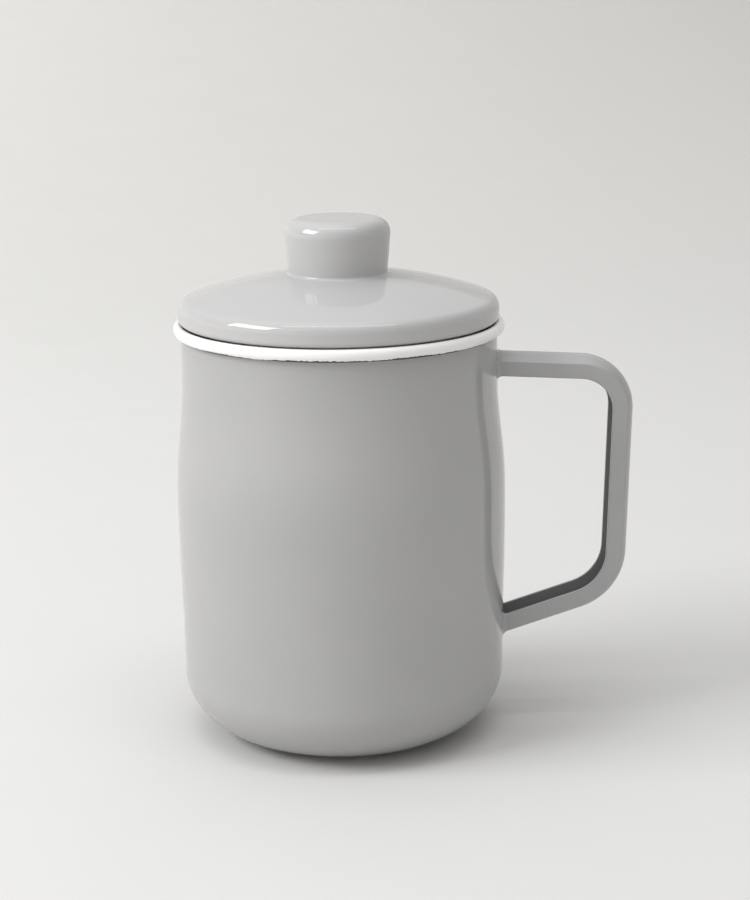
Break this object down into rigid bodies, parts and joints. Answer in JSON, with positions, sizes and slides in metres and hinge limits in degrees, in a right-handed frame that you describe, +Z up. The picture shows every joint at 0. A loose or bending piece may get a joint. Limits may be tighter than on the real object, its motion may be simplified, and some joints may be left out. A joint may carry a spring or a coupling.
{
  "type": "cooking grease pot",
  "caption": "Lidded barrel-sided enamelled pot with a rolled rim, a channel side handle, a lift-out mesh strainer and a domed lid with a round knob.",
  "frame": {"origin": "centre of the pot's flat base, on the surface that it stands on", "axes": "+Z up along the pot's axis, +X towards the handle"},
  "size_m": [0.1666, 0.12, 0.1893],
  "materials": {
    "grey_enamel": "glossy mid-grey vitreous enamel fired on steel",
    "white_enamel": "glossy white vitreous enamel of the lining and the rolled rim",
    "stainless_steel": "satin drawn stainless sheet and wire"
  },
  "bodies": {
    "pot": {"pot_shell": "grey_enamel", "handle_strap": "grey_enamel"},
    "strainer": {"strainer_cup": "stainless_steel", "strainer_mesh": "stainless_steel", "mesh_clamp_ring": "stainless_steel"},
    "lid": {"lid_shell": "grey_enamel", "lid_locating_ring": "white_enamel", "lid_knob": "grey_enamel"}
  },
  "joints": [
    {"name": "strainer_lift", "type": "slide", "parent": "pot", "child": "strainer", "axis": [0, 0, 1], "range_m": [0, 0.06]},
    {"name": "lid_lift", "type": "slide", "parent": "strainer", "child": "lid", "axis": [0, 0, 1], "range_m": [0, 0.06]}
  ]
}
